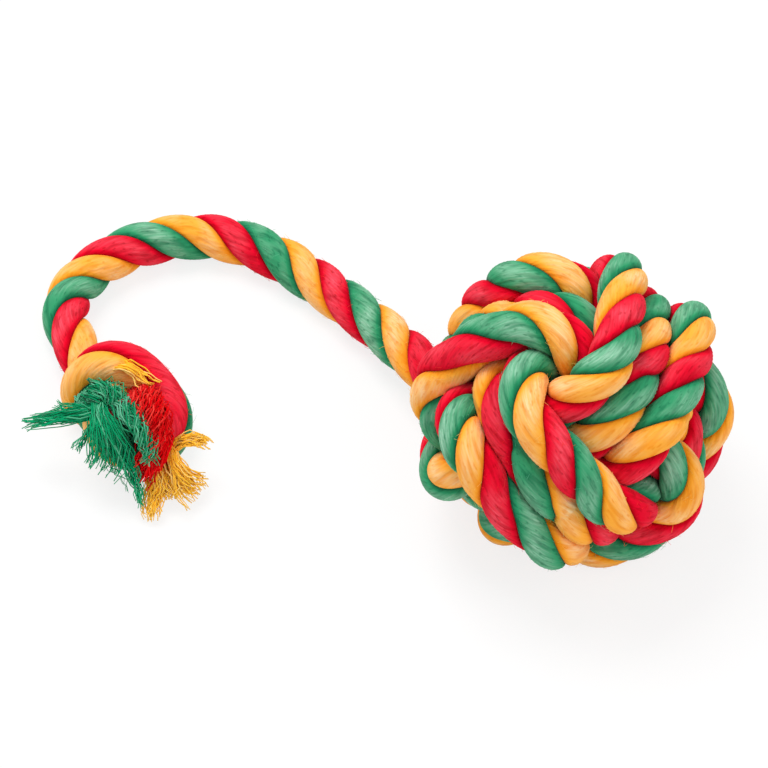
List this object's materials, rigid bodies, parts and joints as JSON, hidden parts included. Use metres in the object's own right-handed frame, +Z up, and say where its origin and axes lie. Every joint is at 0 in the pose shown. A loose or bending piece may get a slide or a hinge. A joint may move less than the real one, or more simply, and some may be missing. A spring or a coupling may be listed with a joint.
{
  "type": "rope dog toy",
  "caption": "Rope dog toy: a ball of tightly wound rope whose short free tail ends in a knot with frayed strands.",
  "frame": {"origin": "middle of the toy's bounding box, on the floor that it lies on", "axes": "+X from the end knot towards the ball, +Y from the camera side towards the side where the tail bows out, +Z up"},
  "size_m": [0.1676, 0.119, 0.0709],
  "materials": {
    "rope": "matte cotton rope of a green, a red and a yellow strand",
    "core": "matte wad of bound cotton",
    "green_yarn": "matte cotton yarn",
    "red_yarn": "matte cotton yarn",
    "yellow_yarn": "matte cotton yarn"
  },
  "bodies": {
    "ball": {"core_ball": "core", "fist_winding": "rope", "tail_rope": "rope"},
    "tail_end": {"stopper_knot": "rope", "tassel_green": "green_yarn", "tassel_red": "red_yarn", "tassel_yellow": "yellow_yarn"}
  },
  "joints": [
    {"name": "tail_bend", "type": "hinge", "parent": "ball", "child": "tail_end", "pos_m": [-0.04357, 0.05391, 0.0056], "axis": [0, 0, 1], "range_deg": [-35, 35], "deforming": ["tail_rope"]}
  ]
}
